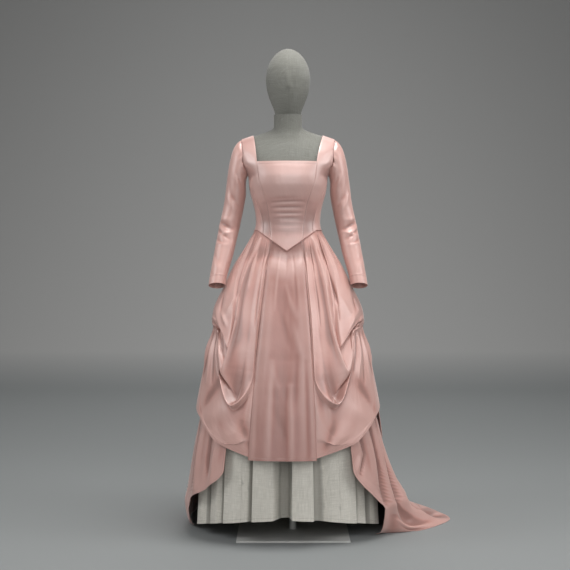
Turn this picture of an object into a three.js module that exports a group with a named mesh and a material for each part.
// Renaissance dress on a limbless linen-covered display form.
// Millimetres, +Z up, -Y is the front. The origin is on the floor under the form's centre line.
// Every cloth piece is a thin wall: a grid of points on its outer face, and the same grid moved inwards.
import * as THREE from "three";

// ---- Driving dimensions -------------------------------------------------------------------------

const CLOTH = 1.6;             // thickness of skirt and sleeve cloth
const BONED_CLOTH = 2;         // thickness of the boned bodice cloth
const SEAM = 0.5;              // gap between two pieces that are sewn edge to edge
const WAIST_SIDE = 1095;       // height of the waist seam at the side
const WAIST_BACK = 1099;       // height of the waist seam at the back
const WAIST_POINT = 1021;      // lowest point of the bodice's V at the centre front
const WAIST_SLOPE = 0.709;     // rise of the V for each millimetre away from the centre
const NECK_FRONT = 1339;       // straight front edge of the square neckline
const NECK_BACK = 1375;        // straight back edge of the neckline
const SHOULDER_TOP = 1440;     // height of the shoulder seam at its inner end
const SHOULDER_FALL = 0.34;    // slope of the shoulder line
const SHOULDER_INNER = 121;    // the shoulder falls outwards from here
const HEAD_TOP = 1750;
const NECK_JOINT = 1512;       // the head sits on the neck here
const STAND_SHIFT = 18;        // the pole stands this far to the wearer's left of the centre line
const PLATE_SIDE = 400;
const PLATE_THICK = 6;
const POLE_RADIUS = 12.5;
const SOCKET_RADIUS = 32;
const SOCKET_LENGTH = 40;
const FORM_BOTTOM = 862;
const PIPING_RADIUS = 2;

// ---- Tables: one row for each section or fold ---------------------------------------------------

function table(names, ...rows) {
  const keys = names.split(" ");
  return rows.map((row) => Object.fromEntries(keys.map((key, column) => [key, row[column]])));
}

// The figure that the cloth hangs on: half width, depth to the front, depth to the back, and how
// square each level section is (2 is an ellipse).
const FIGURE = table("level half front back square",
  [0, 362, 328, 405, 2],
  [150, 352, 318, 388, 2],
  [310, 345, 305, 365, 2],
  [460, 325, 285, 338, 2],
  [600, 300, 258, 305, 2],
  [660, 291, 243, 285, 2],
  [735, 271, 222, 262, 2],
  [800, 268, 200, 240, 2],
  [880, 237, 168, 200, 2.1],
  [975, 190, 130, 150, 2.15],
  [1022, 160, 107.5, 118, 2.25],
  [1060, 137, 98, 98, 2.3],
  [1100, 120, 88, 80, 2.3],
  [1125, 116.5, 86, 74, 2.3],
  [1150, 118, 89, 75, 2.3],
  [1190, 126, 100, 82, 2.3],
  [1230, 137, 117, 92, 2.3],
  [1262, 142, 128, 99, 2.3],
  [1285, 143.5, 130, 103, 2.3],
  [1310, 153, 125, 106, 2.3],
  [1340, 172, 113, 104, 2.3],
  [1370, 178, 95, 92, 2.4],
  [1400, 184, 66, 66, 2.5],
  [1421, 188, 38, 40, 2.5],
  [1433, 190, 21, 23, 2.5],
  [1438, 190, 9, 10, 2.5],
  [1440, 190, 2.1, 2.1, 2.5]);

// The display form inside it, clear of the cloth.
const FORM = table("level half front back square",
  [862, 40, 30, 34, 2],
  [868, 84, 58, 66, 2],
  [885, 122, 84, 96, 2.1],
  [915, 146, 101, 115, 2.2],
  [975, 150, 104, 117, 2.2],
  [1022, 138, 92, 102, 2.2],
  [1060, 123, 85, 85, 2.3],
  [1100, 111.4, 79.5, 71.2, 2.3],
  [1125, 112, 81.5, 69.5, 2.3],
  [1150, 114, 85, 71, 2.3],
  [1190, 122, 96, 78, 2.3],
  [1230, 133, 113, 88, 2.3],
  [1262, 138, 121.5, 94, 2.3],
  [1285, 139.5, 123.5, 97, 2.3],
  [1310, 146, 119, 100, 2.3],
  [1340, 158, 108, 99, 2.3],
  [1370, 163, 89, 87, 2.4],
  [1400, 165, 58, 59, 2.5],
  [1417, 166, 35, 37, 2.5],
  [1429, 166, 17, 19, 2.5],
  [1434, 166, 5, 6, 2.5],
  [1436, 166, 0.5, 0.5, 2.5]);

const HEAD = table("level half front back",
  [1512.4, 46, 44, 48],
  [1530, 51, 56, 62],
  [1550, 59, 68, 78],
  [1580, 70.5, 80, 92],
  [1610, 77.5, 86, 99],
  [1640, 80, 88, 101],
  [1670, 76.5, 85, 97],
  [1700, 66, 74, 84],
  [1725, 49, 55, 63],
  [1740, 31, 35, 40],
  [1748, 13, 15, 17]);

// Princess seam: distance from the centre line. Above the neckline it is the strap's inner edge.
const PRINCESS = table("level across",
  [1021, 54], [1072, 57], [1131, 62], [1183, 71], [1230, 86], [1282, 102], [1339, 107], [1400, 117],
  [1440, 126]);

// Sleeve: the outer and inner end of each ring, and how far back its centre lies and how deep it is.
const SLEEVE = table("outerX outerZ innerX innerZ back depth",
  [183, 1411, 149.5, 1283, 0, 98],
  [198, 1388, 151.5, 1274, 1, 98],
  [209, 1352, 152.5, 1262, 2, 96],
  [217, 1310, 152, 1243, 4, 94],
  [222, 1272, 152.5, 1225, 6, 91],
  [232, 1195, 158, 1190, 9, 86],
  [249, 1115, 174, 1112, 8, 82],
  [258, 1065, 185, 1063, -8, 79],
  [267, 1013, 196, 1012, -28, 76],
  [280, 933, 217.5, 933, -58, 73],
  [285, 897, 224, 897, -70, 72]);

// Centre front panel of the overskirt: the angle of its two edges at each level.
const CENTRE_PANEL = table("level left right",
  [300, -25.1, 17.6],
  [500, -24.6, 17.9],
  [747, -24.5, 18.7],
  [888, -26.4, 20.6],
  [1022, -29.6, 24.6],
  [1065, -31.1, 26.1]);

// Looped-up side panels of the overskirt. Each row is one fold, followed from the waist seam down
// its front leg to its low point and back up to the side gathers: angles from the centre front,
// heights, and how far the fold stands out on its leg and in its bowl.
const SWAG_COLUMNS =
  "waist hipA hipZ legA legZ lowA lowZ riseA riseZ knotA knotZ outLeg outBowl";
const SWAG_RIGHT = table(SWAG_COLUMNS,
  [89.4, 89.4, 990, 89.4, 920, 89.3, 870, 89.2, 830, 88.6, 792, 0, 0],
  [80, 77, 960, 70, 850, 67, 800, 74, 796, 87.8, 786, 8, 16],
  [66, 56, 930, 46, 790, 42, 692, 58.5, 750, 86.6, 779, 14, 28],
  [58, 50, 930, 43, 785, 40.4, 676, 57, 734, 85.8, 773, 4, 0],
  [46, 41.5, 930, 37.8, 760, 43.2, 602, 55, 680, 84.8, 767, 24, 36],
  [37, 30, 900, 27, 700, 32.8, 533, 45, 600, 84, 761, 10, 3],
  [31, 23.5, 900, 20.4, 650, 32, 496, 46.4, 598, 83, 755, 30, 38],
  [29.5, 22.3, 900, 19.4, 620, 32, 466, 50, 560, 82.8, 749, 8, 10],
  [28.4, 21.6, 880, 19.2, 560, 34, 378, 60, 520, 83.4, 743, 9, 22],
  [27.4, 20.6, 880, 18, 470, 28, 328, 72, 482, 86, 736, 2, 10],
  [26.6, 17, 900, 14.5, 306, 46, 354, 87.6, 458, 88.6, 728, 1, 13]);
const SWAG_LEFT = table(SWAG_COLUMNS,
  [89.4, 89.4, 990, 89.4, 920, 89.3, 870, 89.2, 830, 88.6, 792, 0, 0],
  [81, 79, 960, 73, 850, 70, 790, 77, 786, 87.8, 785, 8, 16],
  [70, 61, 930, 52, 790, 48.6, 684, 62, 748, 86.6, 778, 14, 26],
  [62, 56, 930, 50, 780, 47.6, 670, 60.5, 732, 85.8, 772, 4, 0],
  [53, 51.5, 930, 46.8, 770, 50, 604, 61, 690, 84.8, 766, 24, 34],
  [43, 38, 900, 34, 700, 36.6, 528, 51.4, 597, 84, 760, 10, 3],
  [36, 30.5, 900, 28, 660, 37.6, 490, 52.8, 592, 83, 754, 30, 38],
  [34.6, 29, 900, 26.8, 640, 38, 460, 56, 558, 82.8, 748, 8, 10],
  [33.4, 28, 880, 26.6, 560, 39, 388, 65, 520, 83.4, 742, 9, 22],
  [32.4, 26.8, 880, 25.4, 470, 33, 326, 75, 476, 86, 735, 2, 10],
  [31.7, 22.5, 900, 20.5, 306, 49, 354, 87, 454, 88.6, 727, 1, 13]);
const SWAG_STOPS = [0, 0.18, 0.42, 0.64, 0.82, 1];   // where waist, hip, leg, low, rise, knot lie

// Bustled back of the overskirt: height of each fold at its two sides and at the centre back.
const BUSTLE = table("right left centre out",
  [1098, 1098, 1098, 0],
  [1040, 1040, 1030, 2],
  [960, 960, 900, 12],
  [880, 880, 760, 32],
  [815, 815, 680, 44],
  [785, 785, 640, 26],
  [765, 765, 605, 4],
  [742, 742, 555, 26],
  [712, 712, 500, 44],
  [675, 680, 462, 28],
  [640, 655, 440, 6],
  [560, 610, 410, 16],
  [450, 545, 385, 26],
  [342, 478, 356, 18]);

// Train skirt: how far it hangs inside (-) or outside (+) the figure.
const TRAIN_HANG = table("level out",
  [110, 10], [200, 0], [310, -8], [400, -12], [800, -12], [1022, -8], [1060, -5], [1096, -3.2]);
// How much farther out it flares on its way down to the floor, by angle.
const TRAIN_FLARE = table("angle out",
  [44, 0], [70, 6], [88, 50], [100, 80], [130, 90], [180, 90], [230, 80], [262, 40], [284, 4], [316, 0]);
const FLARE_TOP = 340;         // the flare starts at this level
// Where the train's open front edges lie at each level.
const TRAIN_FRONT = table("level left right",
  [0, -88, 78], [110, -84, 71], [130, -80, 66], [170, -64, 58], [200, -55, 52], [240, -46, 46],
  [260, -44, 44.6], [1096, -44, 44.6]);
// Its outline on the floor.
const TRAIN_FLOOR = table("angle x y",
  [70, 317, -60],
  [84, 464, -15],
  [98, 618, 200],
  [112, 585, 330],
  [128, 520, 480],
  [146, 420, 640],
  [164, 240, 810],
  [180, 20, 850],
  [200, -200, 740],
  [222, -330, 520],
  [248, -375, 280],
  [284, -352, 80]);

// Underskirt: how far it hangs inside the figure, and its pleats.
const UNDERSKIRT_HANG = table("level out",
  [0, -40], [300, -35], [600, -30], [900, -20], [1022, -13], [1060, -8.6], [1092, -5.8]);
const UNDERSKIRT_PLEATS = table("angle width depth",
  [-3, 6, 58], [-28, 4, 34], [-52, 5, 44], [-70, 5, 26], [-84, 9, -16], [23, 5, 34], [55, 5, 40],
  [70, 5, 26], [84, 9, -16],
  [95, 7, 34], [118, 7, 42], [142, 7, 36], [165, 7, 44], [188, 7, 36], [213, 7, 42], [238, 7, 38],
  [262, 7, 40]);
const GORE_SEAMS = [-35, 39, 106, 153, 198, 242, 325];

// ---- Interpolation ------------------------------------------------------------------------------

const radians = THREE.MathUtils.degToRad;
const lerp = THREE.MathUtils.lerp;
const smoothstep = THREE.MathUtils.smoothstep;

// Smooth curve through the values at rising stops: cubic, level at each high and low, so that it
// never swings past them.
function smooth(stops, values, at) {
  const last = stops.length - 1;
  const place = THREE.MathUtils.clamp(at, stops[0], stops[last]);
  let i = 0;
  while (i < last - 1 && place > stops[i + 1]) i += 1;
  const rise = (k) => (values[k + 1] - values[k]) / (stops[k + 1] - stops[k]);
  const slope = (k) => {
    if (k === 0) return rise(0);
    if (k === last) return rise(last - 1);
    const [before, after] = [rise(k - 1), rise(k)];
    return before * after > 0 ? 2 * before * after / (before + after) : 0;
  };
  const span = stops[i + 1] - stops[i];
  const t = (place - stops[i]) / span;
  const h00 = (1 + 2 * t) * (1 - t) ** 2;
  const h10 = t * (1 - t) ** 2;
  const h01 = t * t * (3 - 2 * t);
  const h11 = t * t * (t - 1);
  return h00 * values[i] + h10 * span * slope(i) + h01 * values[i + 1] + h11 * span * slope(i + 1);
}

// The value of one column of a table at a place along another.
function along(rows, by, at, column) {
  return smooth(rows.map((row) => row[by]), rows.map((row) => row[column]), at);
}

const steps = (count) => Array.from({ length: count + 1 }, (_, i) => i / count);

// ---- Surfaces -----------------------------------------------------------------------------------

// A point on a level section: the angle is 0 at the front, 90 at the wearer's left (+X), 180 behind.
function onFigure(rows, angle, level, out = 0) {
  const sine = Math.sin(radians(angle));
  const cosine = Math.cos(radians(angle));
  const half = along(rows, "level", level, "half");
  const depth = along(rows, "level", level, cosine > 0 ? "front" : "back");
  const square = along(rows, "level", level, "square");
  const sum = Math.abs(sine / half) ** square + Math.abs(cosine / depth) ** square;
  const radius = sum ** (-1 / square) + out;
  return new THREE.Vector3(radius * sine, -radius * cosine, level);
}

// How far the shoulder line has dropped at this distance from the centre.
function shoulderDrop(level, across) {
  const slope = SHOULDER_FALL * smoothstep(level, 1330, 1437);
  return slope * (Math.abs(across) - SHOULDER_INNER);
}

// A point of the bodice, given its distance across and its level before the shoulder's fall.
function onBodice(across, level, facing) {
  const half = along(FIGURE, "level", level, "half");
  const depth = along(FIGURE, "level", level, facing < 0 ? "front" : "back");
  const square = along(FIGURE, "level", level, "square");
  const inside = Math.max(0, 1 - Math.abs(across / half) ** square);
  return new THREE.Vector3(
    across, facing * depth * inside ** (1 / square), level - shoulderDrop(level, across));
}

// Height of the waist seam at an angle: a V in front, level behind.
function waistHeight(angle) {
  const turned = Math.abs(((angle + 180) % 360 + 360) % 360 - 180);
  let height = WAIST_SIDE;
  if (turned >= 90) return lerp(WAIST_SIDE, WAIST_BACK, smoothstep(turned, 90, 112));
  for (let pass = 0; pass < 12; pass += 1) {
    const across = Math.abs(onFigure(FIGURE, turned, height).x);
    height = Math.min(WAIST_POINT + WAIST_SLOPE * across, WAIST_SIDE);
  }
  return height;
}

// ---- Solids -------------------------------------------------------------------------------------

// Signed volume, to turn a mesh's faces outwards.
function volume(points, index) {
  let sum = 0;
  for (let i = 0; i < index.length; i += 3) {
    const [a, b, c] = [points[index[i]], points[index[i + 1]], points[index[i + 2]]];
    sum += a.dot(new THREE.Vector3().crossVectors(b, c)) / 6;
  }
  return sum;
}

function geometryOf(points, index) {
  if (volume(points, index) < 0) {
    for (let i = 0; i < index.length; i += 3) [index[i], index[i + 1]] = [index[i + 1], index[i]];
  }
  const geometry = new THREE.BufferGeometry();
  geometry.setFromPoints(points);
  geometry.setIndex(index);
  geometry.computeVertexNormals();
  return geometry;
}

const quad = (a, b, c, d) => [a, b, c, a, c, d];

// Unit normals of a grid of points.
function gridNormals(grid, closed) {
  const columns = grid[0].length;
  return grid.map((row, j) => row.map((point, i) => {
    const before = closed ? row[(i + columns - 1) % columns] : row[Math.max(i - 1, 0)];
    const after = closed ? row[(i + 1) % columns] : row[Math.min(i + 1, columns - 1)];
    const below = grid[Math.max(j - 1, 0)][i];
    const above = grid[Math.min(j + 1, grid.length - 1)][i];
    return new THREE.Vector3()
      .crossVectors(after.clone().sub(before), above.clone().sub(below)).normalize();
  }));
}

// Level direction from a point to the figure's axis.
const towardsAxis = (point) => new THREE.Vector3(-point.x, -point.y, 0).normalize();

// Inward directions of a skirt piece: across its own surface inside, and straight to the axis at its
// top and side edges, so that neighbours meet there without crossing.
function skirtInwards(grid) {
  return gridNormals(grid, false).map((row, j) => row.map((normal, i) => {
    const axis = towardsAxis(grid[j][i]);
    if (j === 0 || i === 0 || i === row.length - 1) return axis;
    return normal.dot(axis) < 0 ? normal.negate() : normal;
  }));
}

// Points and inward directions of a bodice panel, from the surface that it lies on. Its lower edge,
// on the waist seam, is thickened level.
function panel(places, surface) {
  const step = 0.4;
  const grid = places.map((row) => row.map(([p, q]) => surface(p, q)));
  const inwards = places.map((row, j) => row.map(([p, q], i) => {
    if (j === 0) return towardsAxis(grid[j][i]);
    const across = surface(p + step, q).sub(surface(p - step, q));
    const up = surface(p, q + step).sub(surface(p, q - step));
    const normal = new THREE.Vector3().crossVectors(across, up).normalize();
    return normal.dot(towardsAxis(grid[j][i])) < 0 ? normal.negate() : normal;
  }));
  return [grid, inwards];
}

// A cloth wall: rows of points on the outer face, thickened along their inward directions. Both faces
// split each facet along the same diagonal, so that they can't cross. Nothing goes lower than the floor.
function wall(grid, inwards, thickness, closed = false) {
  const columns = grid[0].length;
  const rows = grid.length;
  const outer = grid.flat();
  const inner = grid.flatMap((row, j) => row.map((point, i) => {
    const moved = point.clone().addScaledVector(inwards[j][i], thickness);
    moved.z = Math.max(moved.z, 0);
    return moved;
  }));
  const index = [];
  const shift = outer.length;
  const at = (j, i) => j * columns + (i % columns);
  const spans = closed ? columns : columns - 1;
  for (let i = 0; i < spans; i += 1) {
    const [a, b] = [at(0, i), at(0, i + 1)];
    const [c, d] = [at(rows - 1, i), at(rows - 1, i + 1)];
    index.push(...quad(shift + a, shift + b, b, a), ...quad(c, d, shift + d, shift + c));
  }
  for (let j = 0; j < rows - 1; j += 1) {
    for (let i = 0; i < spans; i += 1) {
      const [a, b, c, d] = [at(j, i), at(j, i + 1), at(j + 1, i + 1), at(j + 1, i)];
      index.push(...quad(b, c, d, a), ...quad(shift + d, shift + c, shift + b, shift + a));
    }
    if (!closed) {
      const [a, b] = [at(j, 0), at(j + 1, 0)];
      const [c, d] = [at(j, columns - 1), at(j + 1, columns - 1)];
      index.push(...quad(a, b, shift + b, shift + a), ...quad(shift + c, shift + d, d, c));
    }
  }
  return geometryOf([...outer, ...inner], index);
}

// A solid from closed rings stacked from bottom to top, with a flat fan at each end.
function stack(rings) {
  const count = rings[0].length;
  const points = rings.flat();
  const index = [];
  for (let j = 0; j < rings.length - 1; j += 1) {
    for (let i = 0; i < count; i += 1) {
      const next = (i + 1) % count;
      index.push(...quad(j * count + i, j * count + next, (j + 1) * count + next,
        (j + 1) * count + i));
    }
  }
  for (const [ring, turn] of [[0, 1], [rings.length - 1, -1]]) {
    const centre = rings[ring].reduce((sum, p) => sum.add(p), new THREE.Vector3());
    points.push(centre.divideScalar(count));
    const hub = points.length - 1;
    for (let i = 0; i < count; i += 1) {
      const [a, b] = [ring * count + i, ring * count + (i + 1) % count];
      index.push(...(turn > 0 ? [hub, b, a] : [hub, a, b]));
    }
  }
  return geometryOf(points, index);
}

// ---- Materials ----------------------------------------------------------------------------------

const satin = new THREE.MeshStandardMaterial({ color: 0xd9a9a0, roughness: 0.38, metalness: 0 });
const linen = new THREE.MeshStandardMaterial({ color: 0xd8d2c4, roughness: 0.9, metalness: 0 });
const formLinen = new THREE.MeshStandardMaterial({ color: 0x8b8a80, roughness: 0.92, metalness: 0 });
const steel = new THREE.MeshStandardMaterial({ color: 0x6b6a66, roughness: 0.35, metalness: 1 });

const dress = new THREE.Group();

function add(name, geometry, material) {
  const mesh = new THREE.Mesh(geometry, material);
  mesh.name = name;
  dress.add(mesh);
  return mesh;
}

// ---- Bodice -------------------------------------------------------------------------------------

const SIDES = [["left", -1], ["right", 1]];       // as seen from the front: left is -X
const princess = (level) => along(PRINCESS, "level", level, "across");

// Level of a bodice point that must end at the height z, this far across.
function levelAt(z, across) {
  let level = z;
  for (let pass = 0; pass < 12; pass += 1) level = z + shoulderDrop(level, across);
  return level;
}

// The armhole: turn 0 is the top of the shoulder, 90 the front, 180 under the arm, 270 the back.
const ARMHOLE = { middle: 1357, rise: 64, depth: 48, inner: 162, outer: 169 };

function armhole(turn) {
  const rise = Math.cos(radians(turn));
  const z = ARMHOLE.middle + ARMHOLE.rise * rise;
  const facing = turn < 180 ? -1 : 1;
  const topShare = 0.2;
  if (rise > topShare) {
    const share = (rise - topShare) / (1 - topShare);
    const across = lerp(ARMHOLE.inner, ARMHOLE.outer, share);
    return { across, level: levelAt(z, across), facing };
  }
  const depth = ARMHOLE.depth * Math.abs(Math.sin(radians(turn)));
  let across = ARMHOLE.inner;
  for (let pass = 0; pass < 12; pass += 1) {
    const level = levelAt(z, across);
    const half = along(FIGURE, "level", level, "half");
    const reach = along(FIGURE, "level", level, facing < 0 ? "front" : "back");
    const square = along(FIGURE, "level", level, "square");
    across = half * (1 - Math.min(depth / reach, 1) ** square) ** (1 / square);
  }
  return { across, level: levelAt(z, across), facing };
}

// Side-front and side-back seams, from the waist to the armhole.
const SEAM_TURN = 120;                            // they meet the armhole at this turn, front and back
const SEAM_WAIST = { front: 53, back: 115 };      // and the waist at these angles
const SEAM_ROWS = 5;                              // rows of a panel along the side seam
const ARM_ROWS = 6;                               // and along the armhole above it
const NECK_ROW = { front: 7, back: 8 };           // the row that lies at the neckline

const mirrorTurn = (turn, facing) => (facing < 0 ? turn : 360 - turn);

// Polar angle of an armhole point.
function armholeAngle(edge) {
  const point = onBodice(edge.across, edge.level, edge.facing);
  return THREE.MathUtils.radToDeg(Math.atan2(point.x, -point.y));
}

function sideSeam(share, facing) {
  const end = armhole(mirrorTurn(SEAM_TURN, facing));
  const angle = facing < 0 ? SEAM_WAIST.front : SEAM_WAIST.back;
  return {
    angle: lerp(angle, armholeAngle(end), share),
    level: lerp(waistHeight(angle), end.level, share),
  };
}

// Where the princess seam meets the V of the waist.
function princessFoot() {
  let level = WAIST_SIDE;
  for (let pass = 0; pass < 12; pass += 1) level = WAIST_POINT + WAIST_SLOPE * princess(level);
  return level;
}

// Level of a row where it meets the princess seam, or the inner edge of the strap above it.
const STRAP_SHARES = [0, 0.4, 0.72, 0.9, 1];     // how far up the strap its rows lie

function princessLevel(row, facing) {
  const foot = facing < 0 ? princessFoot() : WAIST_BACK;
  const neck = facing < 0 ? NECK_FRONT : NECK_BACK;
  const neckRow = facing < 0 ? NECK_ROW.front : NECK_ROW.back;
  if (row <= neckRow) return lerp(foot, neck, row / neckRow);
  const left = SEAM_ROWS + ARM_ROWS - row;
  return lerp(neck, SHOULDER_TOP, STRAP_SHARES[STRAP_SHARES.length - 1 - left]);
}

// Side-front (or side-back) panel with its shoulder strap. Its outer edge runs up the side seam and
// then round the armhole.
function strapPanel(side, facing) {
  const lastTurn = 3;
  const places = steps(SEAM_ROWS + ARM_ROWS).map((_, row) => {
    let far = armhole(mirrorTurn(
      Math.max(SEAM_TURN * (1 - (row - SEAM_ROWS) / ARM_ROWS), lastTurn), facing));
    if (row <= SEAM_ROWS) {
      const seam = sideSeam(row / SEAM_ROWS, facing);
      far = { across: onFigure(FIGURE, seam.angle, seam.level).x, level: seam.level };
    }
    if (row === SEAM_ROWS + ARM_ROWS) far.level = SHOULDER_TOP;
    const level = princessLevel(row, facing);
    const near = princess(level) + SEAM / 2;
    return steps(5).map((u) => [
      side * lerp(near, far.across - SEAM / 2, u), lerp(level, far.level, u)]);
  });
  return wall(...panel(places, (across, level) => onBodice(across, level, facing)), BONED_CLOTH);
}

// Centre front, between the princess seams, from the V to the neckline.
function centreFront() {
  const places = steps(NECK_ROW.front).map((_, row) => steps(8).map((u) => {
    const spread = lerp(-1, 1, u);
    const edge = princessLevel(row, -1);
    const dip = WAIST_SLOPE * (1 - Math.abs(spread)) * princess(princessFoot());
    const level = edge - dip * (1 - row / NECK_ROW.front);
    return [spread * (princess(edge) - SEAM / 2), level];
  }));
  return wall(...panel(places, (across, level) => onBodice(across, level, -1)), BONED_CLOTH);
}

// Centre back, one panel each side of the closing seam.
function centreBack(side) {
  const places = steps(NECK_ROW.back).map((_, row) => steps(4).map((u) => {
    const level = princessLevel(row, 1);
    return [side * lerp(SEAM / 2, princess(level) - SEAM / 2, u), level];
  }));
  return wall(...panel(places, (across, level) => onBodice(across, level, 1)), BONED_CLOTH);
}

// Side panel under the arm: its four edges are the waist, the two side seams and the armhole, and
// what lies between is blended from them.
function sidePanel(side) {
  const waist = (u) => {
    const angle = lerp(SEAM_WAIST.front, SEAM_WAIST.back, u);
    return { angle, level: waistHeight(angle) };
  };
  const top = (u) => {
    const edge = armhole(lerp(SEAM_TURN, 360 - SEAM_TURN, u));
    return { angle: armholeAngle(edge), level: edge.level };
  };
  const blend = (u, v, key) => {
    const across = lerp(sideSeam(v, -1)[key], sideSeam(v, 1)[key], u);
    const up = lerp(waist(u)[key], top(u)[key], v);
    const corners = lerp(
      lerp(waist(0)[key], waist(1)[key], u), lerp(top(0)[key], top(1)[key], u), v);
    return across + up - corners;
  };
  const places = steps(SEAM_ROWS).map((v) => steps(6).map((u) => {
    const level = blend(u, v, "level");
    const radius = along(FIGURE, "level", level, "half");
    const inset = THREE.MathUtils.radToDeg(SEAM / 2 / radius) * (1 - 2 * u);
    return [side * (blend(u, v, "angle") + inset), level];
  }));
  return wall(...panel(places, (angle, level) => onFigure(FIGURE, angle, level)), BONED_CLOTH);
}

function waistPiping() {
  const path = new THREE.CatmullRomCurve3(steps(60).slice(0, -1).map((turn) => {
    const angle = turn * 360;
    return onFigure(FIGURE, angle, waistHeight(angle), PIPING_RADIUS + 2 * SEAM);
  }), true);
  return new THREE.TubeGeometry(path, 60, PIPING_RADIUS, 4, true);
}

// ---- Sleeves ------------------------------------------------------------------------------------

function sleeve(side) {
  const segments = 18;
  const turns = steps(segments).slice(0, -1).map((share) => share * 360);
  const head = turns.map((turn) => {
    const hole = armhole(turn);
    const point = onBodice(hole.across, hole.level, hole.facing);
    point.x += 2 * SEAM;
    return point;
  });
  const rings = SLEEVE.map((row, k) => {
    const after = SLEEVE[Math.min(k + 1, SLEEVE.length - 1)];
    const before = SLEEVE[Math.max(k - 1, 0)];
    const centre = new THREE.Vector3(
      (row.outerX + row.innerX) / 2, row.back, (row.outerZ + row.innerZ) / 2);
    const wide = new THREE.Vector3((row.outerX - row.innerX) / 2, 0, (row.outerZ - row.innerZ) / 2);
    const run = after.outerZ + after.innerZ - before.outerZ - before.innerZ;
    const lean = Math.atan2(2 * (after.back - before.back), run);
    const deep = new THREE.Vector3(0, -Math.cos(lean), Math.sin(lean)).multiplyScalar(row.depth / 2);
    if (deep.y < 0) deep.negate();
    return turns.map((turn) => centre.clone()
      .addScaledVector(wide, Math.cos(radians(turn)))
      .addScaledVector(deep, -Math.sin(radians(turn))));
  });
  const grid = [head, ...rings];
  for (const ring of grid) for (const point of ring) point.x *= side;
  const inwards = gridNormals(grid, true).map((row) => row.map((n) => n.multiplyScalar(-side)));
  return wall(grid, inwards, CLOTH, true);
}

// ---- Overskirt ----------------------------------------------------------------------------------

const CENTRE_PANEL_OUT = 16;

function overskirtFront() {
  const hem = 307;
  const edge = (level, u) => (u < 0.5
    ? along(CENTRE_PANEL, "level", level, "left") * (1 - 2 * u)
    : along(CENTRE_PANEL, "level", level, "right") * (2 * u - 1));
  const grid = steps(10).map((v) => steps(6).map((u) => {
    let level = lerp(waistHeight(0), hem, v);
    for (let pass = 0; pass < 6; pass += 1) {
      level = lerp(waistHeight(edge(level, u)) - SEAM, hem, v);
    }
    const angle = edge(level, u);
    const below = waistHeight(angle) - level;
    return onFigure(FIGURE, angle, level, CENTRE_PANEL_OUT * smoothstep(below, 0, 130));
  }));
  return wall(grid, skirtInwards(grid), CLOTH);
}

// One looped-up side panel: u runs along each fold from the waist to the side gathers, and v from
// the side line across the folds to the hem.
function swag(rows, side) {
  const stops = rows.map((_, k) => k / (rows.length - 1));
  const pick = (v, column) => smooth(stops, rows.map((row) => row[column]), v);
  const grid = steps(20).map((v) => {
    const waist = pick(v, "waist");
    const angles = [waist, ...["hipA", "legA", "lowA", "riseA", "knotA"].map((c) => pick(v, c))];
    const heights = [waistHeight(waist) - SEAM,
      ...["hipZ", "legZ", "lowZ", "riseZ", "knotZ"].map((c) => pick(v, c))];
    const [leg, bowl] = [pick(v, "outLeg"), pick(v, "outBowl")];
    const outs = [0, leg * 0.6, leg, bowl, bowl * 0.7, 3];
    return steps(14).map((u) => onFigure(FIGURE, side * smooth(SWAG_STOPS, angles, u),
      smooth(SWAG_STOPS, heights, u), smooth(SWAG_STOPS, outs, u)));
  });
  return wall(grid, skirtInwards(grid), CLOTH);
}

function overskirtBack() {
  const stops = BUSTLE.map((_, k) => k / (BUSTLE.length - 1));
  const pick = (v, column) => smooth(stops, BUSTLE.map((row) => row[column]), v);
  const edge = 90.6;
  const grid = steps(13).map((v) => steps(14).map((u) => {
    const angle = lerp(edge, 360 - edge, u);
    const loop = 1 - (2 * u - 1) ** 2;
    const fade = lerp(smoothstep(Math.min(u, 1 - u), 0, 0.16), 1, 0.12 * smoothstep(v, 0.4, 0.6));
    const side = lerp(pick(v, "right"), pick(v, "left"), u);
    const level = v === 0 ? waistHeight(angle) - SEAM : lerp(side, pick(v, "centre"), loop);
    return onFigure(FIGURE, angle, level, pick(v, "out") * fade);
  }));
  return wall(grid, skirtInwards(grid), CLOTH);
}

// ---- Train skirt --------------------------------------------------------------------------------

// Rows of the train: the levels where it hangs, then shares of its sweep out over the floor.
const TRAIN_LEVELS = [1096, 1060, 1022, 960, 880, 740, 560, 400, 300, 220, 160, 110];
const TRAIN_SWEEP = [0.3, 0.55, 0.8, 1];
const TRAIN_LIFT = TRAIN_LEVELS[TRAIN_LEVELS.length - 1];

// A point of the train, `round` the skirt from the right front edge (0) to the left one (1).
function onTrain(round, level, sweep = 0) {
  const right = along(TRAIN_FRONT, "level", level, "right");
  const left = 360 + along(TRAIN_FRONT, "level", level, "left");
  const angle = lerp(right, left, round);
  const fallen = Math.max(0, FLARE_TOP - level) / (FLARE_TOP - TRAIN_LIFT);
  const flare = along(TRAIN_FLARE, "angle", angle, "out") * fallen ** 1.5;
  const point = onFigure(FIGURE, angle, level, along(TRAIN_HANG, "level", level, "out") + flare);
  if (sweep === 0) return point;
  const key = lerp(TRAIN_FLOOR[0].angle, TRAIN_FLOOR[TRAIN_FLOOR.length - 1].angle, round);
  const goal = new THREE.Vector3(
    along(TRAIN_FLOOR, "angle", key, "x"), along(TRAIN_FLOOR, "angle", key, "y"), CLOTH);
  const ripple = 7 * (1 - Math.cos(radians(key * 14))) * Math.sin(Math.PI * sweep);
  point.lerp(goal, 0.15 * sweep + 0.85 * sweep ** 1.6);
  point.z = CLOTH + (TRAIN_LIFT - CLOTH) * (1 - sweep) ** 2.4 + ripple;
  return point;
}

function train(from, to, columns) {
  const across = steps(columns).map((u) => lerp(from, to, u));
  const grid = [
    ...TRAIN_LEVELS.map((level) => across.map((round) => onTrain(round, level))),
    ...TRAIN_SWEEP.map((sweep) => across.map((round) => onTrain(round, TRAIN_LIFT, sweep))),
  ];
  return wall(grid, skirtInwards(grid), CLOTH);
}

// ---- Underskirt ---------------------------------------------------------------------------------

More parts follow.
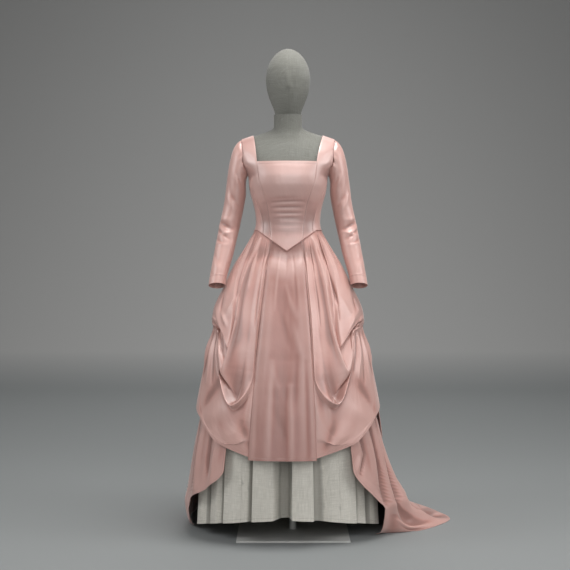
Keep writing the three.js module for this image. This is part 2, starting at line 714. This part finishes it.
function underskirtHem(angle) {
  const turned = Math.abs(((angle + 180) % 360 + 360) % 360 - 180);
  return turned < 90 ? 96 - 72 * (turned / 90) ** 1.6 : 24;
}

const UNDERSKIRT_TOP = 1092;
const UNDERSKIRT_ROWS = [0, 0.036, 0.075, 0.135, 0.215, 0.35, 0.54, 0.77, 1];   // shares of the drop

function underskirtGore(from, to) {
  const grid = UNDERSKIRT_ROWS.map((down) => steps(9).map((u) => {
    const level = lerp(UNDERSKIRT_TOP, underskirtHem(lerp(from, to, u)), down);
    const half = along(FIGURE, "level", level, "front");
    const inset = THREE.MathUtils.radToDeg(SEAM / 2 / half) * (1 - 2 * u);
    const angle = lerp(from, to, u) + inset;
    let fold = 0;
    for (const pleat of UNDERSKIRT_PLEATS) {
      const away = ((angle - pleat.angle + 180) % 360 + 360) % 360 - 180;
      fold += pleat.depth * Math.exp(-((away / pleat.width) ** 2));
    }
    const open = smoothstep(UNDERSKIRT_TOP - level, 30, 900);
    const out = along(UNDERSKIRT_HANG, "level", level, "out");
    return onFigure(FIGURE, angle, level, out - fold * open);
  }));
  return wall(grid, skirtInwards(grid), CLOTH);
}

// ---- Display form -------------------------------------------------------------------------------

// Radius of the form's torso at a height, with its shoulders fallen as the bodice's are.
function torsoRadius(angle, height) {
  const sine = Math.sin(radians(angle));
  const cosine = Math.cos(radians(angle));
  let low = 0;
  let high = 260;
  for (let pass = 0; pass < 26; pass += 1) {
    const radius = (low + high) / 2;
    const across = Math.abs(radius * sine);
    const level = levelAt(height, across);
    const half = along(FORM, "level", level, "half");
    const depth = along(FORM, "level", level, cosine > 0 ? "front" : "back");
    const square = along(FORM, "level", level, "square");
    const past = level > FORM[FORM.length - 1].level;
    const size = (across / half) ** square + Math.abs(radius * cosine / depth) ** square;
    if (size > 1 || past) high = radius;
    else low = radius;
  }
  return low;
}

function formTorso() {
  const heights = [FORM_BOTTOM, 868, 885, 915, 975, 1022, 1060, 1100, 1150, 1190, 1230, 1262, 1285,
    1310, 1340, 1362, 1380, 1394, 1404, 1412, 1418, 1424, 1430, 1436, 1443, 1450, 1458, 1468, 1482,
    NECK_JOINT];
  const rings = heights.map((height) => steps(40).slice(0, -1).map((turn) => {
    const angle = turn * 360;
    const neck = 51 * smoothstep(height, 1385, 1440);
    const radius = Math.hypot(torsoRadius(angle, height) ** 3, neck ** 3) ** (1 / 3);
    return new THREE.Vector3(
      radius * Math.sin(radians(angle)), -radius * Math.cos(radians(angle)), height);
  }));
  return stack(rings);
}

function formHead() {
  const rings = HEAD.map((row) => steps(28).slice(0, -1).map((turn) => {
    const sine = Math.sin(turn * 2 * Math.PI);
    const cosine = Math.cos(turn * 2 * Math.PI);
    const depth = cosine > 0 ? row.front : row.back;
    return new THREE.Vector3(row.half * sine, -depth * cosine, row.level);
  }));
  rings.push(rings[rings.length - 1].map((point) => new THREE.Vector3(
    point.x * 0.3, point.y * 0.3, HEAD_TOP)));
  return stack(rings);
}

// ---- Assembly -----------------------------------------------------------------------------------

add("bodice_front", centreFront(), satin);
for (const [name, side] of SIDES) {
  add(`bodice_side_front_${name}`, strapPanel(side, -1), satin);
  add(`bodice_side_${name}`, sidePanel(side), satin);
  add(`bodice_side_back_${name}`, strapPanel(side, 1), satin);
  add(`bodice_centre_back_${name}`, centreBack(side), satin);
  add(`sleeve_${name}`, sleeve(side), satin);
}
add("waist_piping", waistPiping(), satin);
add("overskirt_front", overskirtFront(), satin);
add("swag_left", swag(SWAG_LEFT, -1), satin);
add("swag_right", swag(SWAG_RIGHT, 1), satin);
add("overskirt_back", overskirtBack(), satin);
add("train_right", train(0, 0.27, 7), satin);
add("train_back", train(0.2708, 0.7292, 11), satin);
add("train_left", train(0.73, 1, 7), satin);
for (let gore = 0; gore < GORE_SEAMS.length - 1; gore += 1) {
  add(`underskirt_gore_${gore + 1}`, underskirtGore(GORE_SEAMS[gore], GORE_SEAMS[gore + 1]), linen);
}
add("form_torso", formTorso(), formLinen);
add("form_head", formHead(), formLinen);

const socket = add("form_socket",
  new THREE.CylinderGeometry(SOCKET_RADIUS, SOCKET_RADIUS, SOCKET_LENGTH, 32), steel);
socket.rotation.x = Math.PI / 2;
socket.position.set(STAND_SHIFT, 0, FORM_BOTTOM - SEAM - SOCKET_LENGTH / 2);

const poleTop = FORM_BOTTOM - 2 * SEAM - SOCKET_LENGTH;
const poleFoot = PLATE_THICK + SEAM;
const pole = add("stand_pole",
  new THREE.CylinderGeometry(POLE_RADIUS, POLE_RADIUS, poleTop - poleFoot, 24), steel);
pole.rotation.x = Math.PI / 2;
pole.position.set(STAND_SHIFT, 0, (poleTop + poleFoot) / 2);

const plate = add("base_plate", new THREE.BoxGeometry(PLATE_SIDE, PLATE_SIDE, PLATE_THICK), steel);
plate.position.set(STAND_SHIFT, 0, PLATE_THICK / 2);

export default dress;
